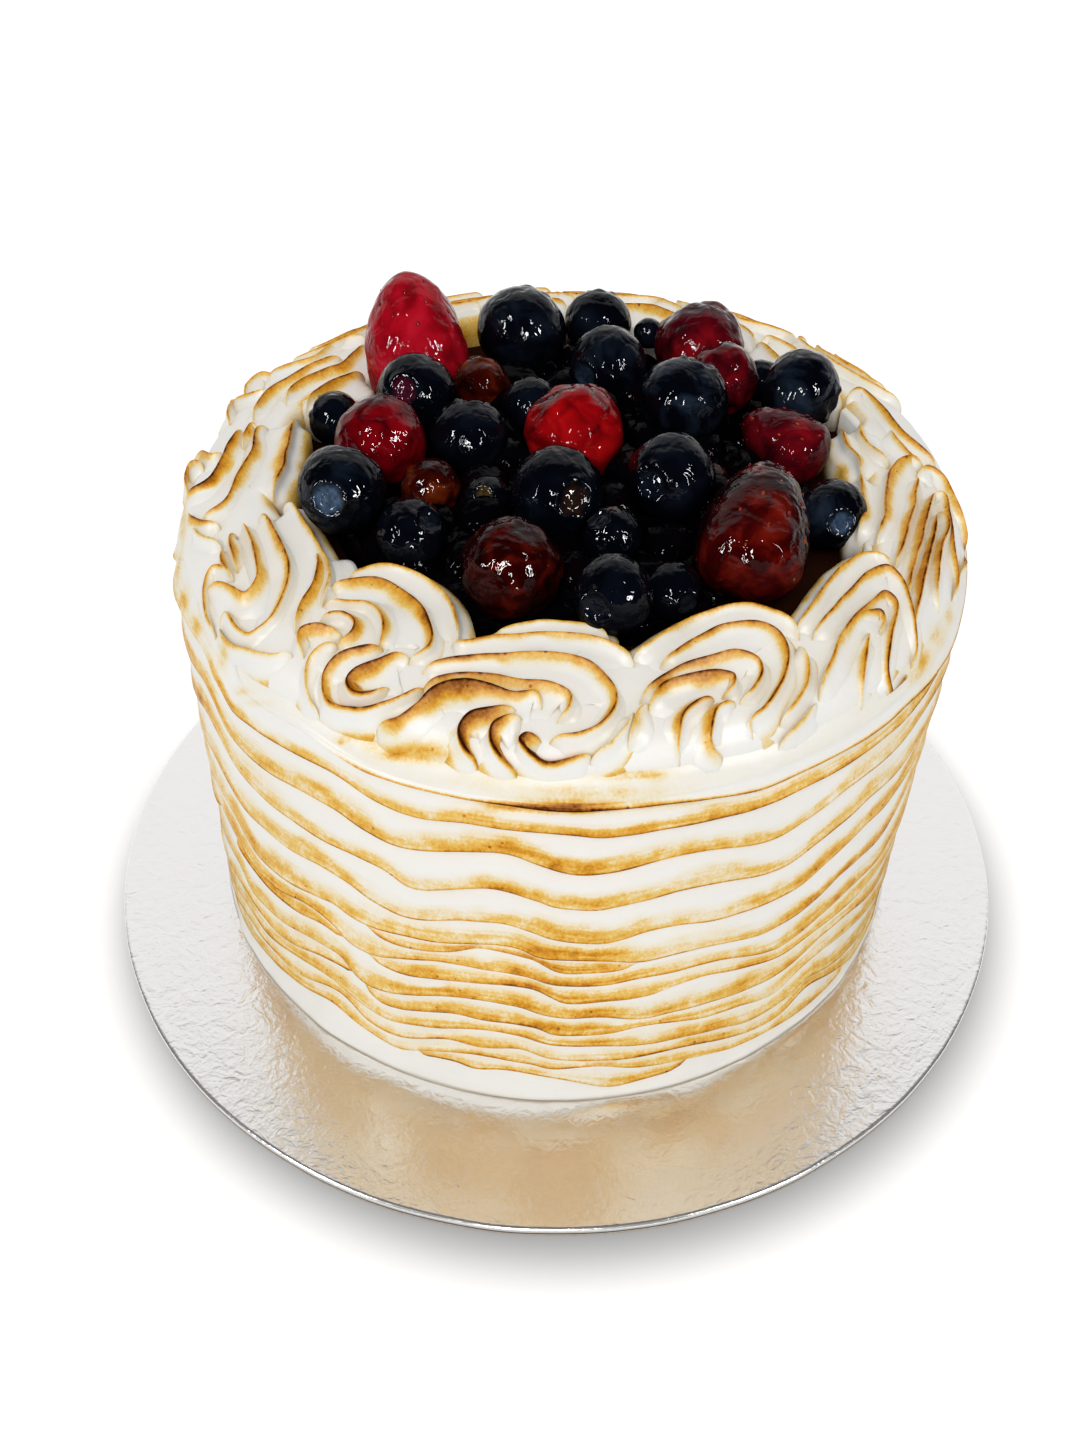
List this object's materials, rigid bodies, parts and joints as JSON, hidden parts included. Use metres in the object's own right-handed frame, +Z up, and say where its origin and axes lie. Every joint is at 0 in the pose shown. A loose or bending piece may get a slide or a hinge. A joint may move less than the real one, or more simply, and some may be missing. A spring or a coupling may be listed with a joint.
{
  "type": "pavlova",
  "caption": "Tall round pavlova cake coated in torched meringue, combed round its side, with a ribbed piped rim and a heap of glazed berries, on a round foil card.",
  "frame": {"origin": "centre of the foil card's underside", "axes": "+Z up, out of the cake's top; -Y towards the front, the side seen in the picture; +X to its right"},
  "size_m": [0.2032, 0.2032, 0.1235],
  "materials": {
    "foil": "crinkled embossed foil over card",
    "meringue": "soft satin meringue, torched golden to brown along the combed lines",
    "piping": "satin piped meringue, torched brown on the crests of its ribs",
    "syrup": "dark glossy berry syrup",
    "blueberry": "blue-black skin under a clear glaze",
    "red_berry": "dark red skin under a clear glaze",
    "berry_piece": "cut red fruit under a clear glaze",
    "strawberry": "dark red, seeded, under a clear glaze"
  },
  "bodies": {
    "root": {"board": "foil", "cake": "meringue", "piped_border": "piping", "berry_bed": "syrup", "berry_piece_back": "berry_piece", "berry_piece_left": "berry_piece", "berry_piece_right": "berry_piece", "blueberry_back_left": "blueberry", "blueberry_back_middle": "blueberry", "blueberry_back_right": "blueberry", "blueberry_back_small": "blueberry", "blueberry_far_right": "blueberry", "blueberry_far_small": "blueberry", "blueberry_front": "blueberry", "blueberry_front_left": "blueberry", "blueberry_front_low": "blueberry", "blueberry_front_small": "blueberry", "blueberry_left": "blueberry", "blueberry_left_small": "blueberry", "blueberry_left_upper": "blueberry", "blueberry_middle": "blueberry", "blueberry_middle_back": "blueberry", "blueberry_middle_left": "blueberry", "blueberry_middle_right": "blueberry", "blueberry_pale": "blueberry", "blueberry_right": "blueberry", "blueberry_small_middle": "blueberry", "red_berry_back": "red_berry", "red_berry_back_low": "red_berry", "red_berry_front": "red_berry", "red_berry_left": "red_berry", "red_berry_middle": "red_berry", "strawberry_large": "strawberry", "strawberry_right": "strawberry", "strawberry_tall": "strawberry"}
  },
  "joints": []
}
